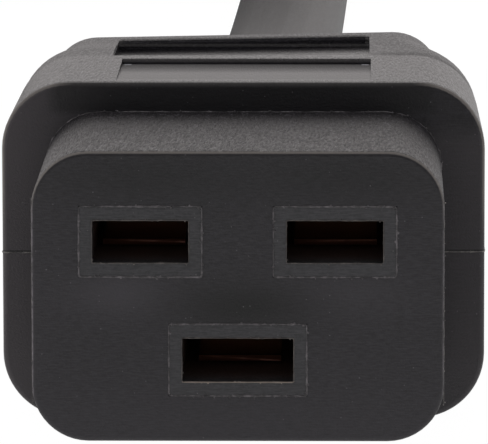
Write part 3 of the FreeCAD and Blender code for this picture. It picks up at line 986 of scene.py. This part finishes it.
def windStrap(name, x, mirror):
    s = strap
    ring = strapPath()
    start = len(ring) // 16
    count = len(ring) + round(s["overlap"] / s["step"])
    middleZ = s["bottomZ"] + s["bore"][1] / 2
    half, thick, edge = s["width"] / 2, s["thickness"], s["thickness"] * s["rounding"]
    bm = bmesh.new()
    rows = []
    for i in range(count):
        (px, pz), out = ring[(start + i) % len(ring)]
        over = max(0.0, min(1.0, (i - len(ring) + s["rampSteps"] / 2) / s["rampSteps"]))
        over = over * over * (3 - 2 * over)
        left = (count - 1 - i) * s["step"]
        curl = max(0.0, 1 - left / s["curl"]) ** 2 * s["lift"]
        inner = s["gap"] + over * thick * s["stack"] + curl
        wide = half
        if left < s["tongue"]:
            wide = half * math.sqrt(max(0.04, 1 - (1 - left / s["tongue"]) ** 2))
        section = [
            (-wide, edge), (-wide + edge, 0), (-wide * 0.5, 0), (0, 0), (wide * 0.5, 0), (wide - edge, 0),
            (wide, edge), (wide, thick - edge), (wide - edge, thick), (wide * 0.5, thick), (0, thick),
            (-wide * 0.5, thick), (-wide + edge, thick), (-wide, thick - edge),
        ]
        row = []
        for y, n in section:
            reach = inner + n
            row.append(bm.verts.new((
                x + mirror * (px + out[0] * reach),
                s["middleY"] + y,
                middleZ + pz + out[1] * reach,
            )))
        rows.append(row)
    for first, second in zip(rows, rows[1:]):
        for j in range(len(first)):
            k = (j + 1) % len(first)
            bm.faces.new((first[j], first[k], second[k], second[j]))
    bm.faces.new(rows[0])
    bm.faces.new(list(reversed(rows[-1])))
    piece = addSolid(name, bm)
    piece.data.polygons.foreach_set("use_smooth", [True] * len(piece.data.polygons))
    return piece


def pileTree():
    # small arched loops of yarn standing on the strap
    g, given = startTree("strap pile", {
        "Loop Size": "Float",
        "Density": "Float",
        "Seed": "Int",
        "Material": "Material",
    })
    spread = g.add("GeometryNodeDistributePointsOnFaces")
    g.link(given["Geometry"], spread.inputs["Mesh"])
    g.link(given["Density"], spread.inputs["Density"])
    g.link(given["Seed"], spread.inputs["Seed"])
    arch = g.add("GeometryNodeCurveArc", mode="RADIUS")
    arch.inputs["Resolution"].default_value = 5
    arch.inputs["Sweep Angle"].default_value = math.pi
    g.link(given["Loop Size"], arch.inputs["Radius"])
    upright = g.add("GeometryNodeTransform")
    upright.inputs["Rotation"].default_value = (math.pi / 2, 0, 0)
    g.link(arch.outputs["Curve"], upright.inputs["Geometry"])
    ring = g.add("GeometryNodeCurvePrimitiveCircle")
    ring.inputs["Resolution"].default_value = 3
    g.link(g.product(given["Loop Size"], 0.22), ring.inputs["Radius"])
    yarn = g.add("GeometryNodeCurveToMesh")
    g.link(upright.outputs["Geometry"], yarn.inputs["Curve"])
    g.link(ring.outputs["Curve"], yarn.inputs["Profile Curve"])
    spin = g.add("FunctionNodeRandomValue", data_type="FLOAT")
    spin.inputs[3].default_value = math.tau
    g.link(given["Seed"], spin.inputs["Seed"])
    turn = g.add("FunctionNodeRotateRotation", rotation_space="LOCAL")
    about = g.add("FunctionNodeAxisAngleToRotation")
    about.inputs["Axis"].default_value = (0, 0, 1)
    g.link(spin.outputs[1], about.inputs["Angle"])
    g.link(spread.outputs["Rotation"], turn.inputs["Rotation"])
    g.link(about.outputs["Rotation"], turn.inputs["Rotate By"])
    stand = g.add("GeometryNodeInstanceOnPoints")
    g.link(spread.outputs["Points"], stand.inputs["Points"])
    g.link(yarn.outputs["Mesh"], stand.inputs["Instance"])
    g.link(turn.outputs["Rotation"], stand.inputs["Rotation"])
    return endTree(g, stand.outputs["Instances"], given["Material"])


strapPile = pileTree()


def outerSkin(name, source, x):
    # the faces of a strap that look away from the turns, as the ground for its loops
    bm = bmesh.new()
    bm.from_mesh(source.data)
    bm.normal_update()
    middleZ = strap["bottomZ"] + strap["bore"][1] / 2
    hidden = []
    for face in bm.faces:
        centre = face.calc_center_median()
        away = Vector((centre.x - x, 0, (centre.z - middleZ) * 0.35))
        if abs(face.normal.y) > 0.5 or away.dot(face.normal) <= 0 or centre.z < strap["lowestLoop"]:
            hidden.append(face)
    bmesh.ops.delete(bm, geom=hidden, context="FACES")
    return addPiece(name, bm)


def tieHank():
    made = []
    farX = cord["rightX"] - 2 * cord["bendRadius"]
    for i, (side, x, mirror) in enumerate((("right", cord["rightX"], 1), ("left", farX, -1))):
        band = windStrap("strap_" + side, x, mirror)
        pile = outerSkin("strapPile_" + side, band, x)
        growTree(pile, strapPile, {
            "Loop Size": strap["loopSize"],
            "Density": strap["loopDensity"],
            "Seed": 5 + i,
            "Material": loopYarn,
        })
        finishPiece(band, strapCloth)
        finishPiece(pile, loopYarn)
        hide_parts("hank_tie_" + side)
        made += [band, pile]
        print("strap", side, len(band.data.polygons), "faces,", len(pile.data.polygons), "in its pile")
    return made


straps = tieHank()

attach(cordPiece, "root")
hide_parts("cord_lead", "cord_hank", "cord_tail")
print("cord tied")


studio = {
    "floorSize": 6.0,
    "floorColour": (0.88, 0.88, 0.88),
    "floorRough": 0.8,
    "glow": 1.04,
    "floorGlow": 0.95,                  # share of the glow that the camera sees
    "floorShine": 0.75,                 # and that glossy surfaces see
    "behindColour": (1.0, 0.955, 0.945),
    "frontColour": (0.94, 0.915, 1.0),
    "lowBehind": 1.25,
    "highUp": 0.68,
    "riseZ": (0.15, 0.65),
    "front": 0.195,
    "frontY": (-0.15, -0.75),
    "frontZ": (0.75, 0.35),
    "rightLoss": 0.12,
}


def makeFloor():
    half = studio["floorSize"] / 2
    bm = bmesh.new()
    bm.faces.new([bm.verts.new((x * half, y * half, 0)) for x, y in ((-1, -1), (1, -1), (1, 1), (-1, 1))])
    floor = addSolid("floor", bm)
    b = NodeBench("paleFloor")
    b.feed(studio["floorColour"], b.shader.inputs["Base Color"])
    b.feed(studio["floorRough"], b.shader.inputs["Roughness"])
    glow = b.add("ShaderNodeEmission")
    glow.inputs["Strength"].default_value = studio["glow"]
    ray = b.add("ShaderNodeLightPath")
    mix = b.add("ShaderNodeMixShader")
    shine = b.sums("MAXIMUM", ray.outputs["Is Glossy Ray"], ray.outputs["Is Transmission Ray"])
    share = b.sums(
        "MAXIMUM",
        b.product(ray.outputs["Is Camera Ray"], studio["floorGlow"]),
        b.product(shine, studio["floorShine"]),
    )
    b.link(share, mix.inputs["Fac"])
    b.link(b.shader.outputs["BSDF"], mix.inputs[1])
    b.link(glow.outputs["Emission"], mix.inputs[2])
    b.link(mix.outputs["Shader"], b.tree.nodes["Material Output"].inputs["Surface"])
    floor.data.materials.append(b.material)


def lightStudio():
    # a white sweep behind, softer from above, and a dim room on the camera's side
    s = studio
    world = bpy.data.worlds.new("studio")
    bpy.context.scene.world = world
    world.use_nodes = True
    b = NodeBench(tree=world.node_tree)
    x, y, z = b.axes(b.add("ShaderNodeTexCoord").outputs["Generated"])
    back = b.span(b.span(z, *s["riseZ"]), 0.0, 1.0, s["lowBehind"], s["highUp"])
    room = b.product(b.span(y, *s["frontY"]), b.span(z, *s["frontZ"]))
    level = b.mixed(room, back, s["front"])
    level = b.product(level, b.span(x, -1.0, 1.0, 1.0, 1.0 - 2 * s["rightLoss"]))
    ray = b.add("ShaderNodeLightPath")
    level = b.mixed(ray.outputs["Is Camera Ray"], level, 1.0)
    tint = b.blend(room, s["behindColour"], s["frontColour"])
    tint = b.blend(ray.outputs["Is Camera Ray"], tint, (1.0, 1.0, 1.0))
    sky = b.tree.nodes["Background"]
    b.link(tint, sky.inputs["Color"])
    b.link(level, sky.inputs["Strength"])


makeFloor()
lightStudio()
bpy.context.scene.view_settings.view_transform = "Standard"
print("studio lit")

bpy.context.view_layer.update()
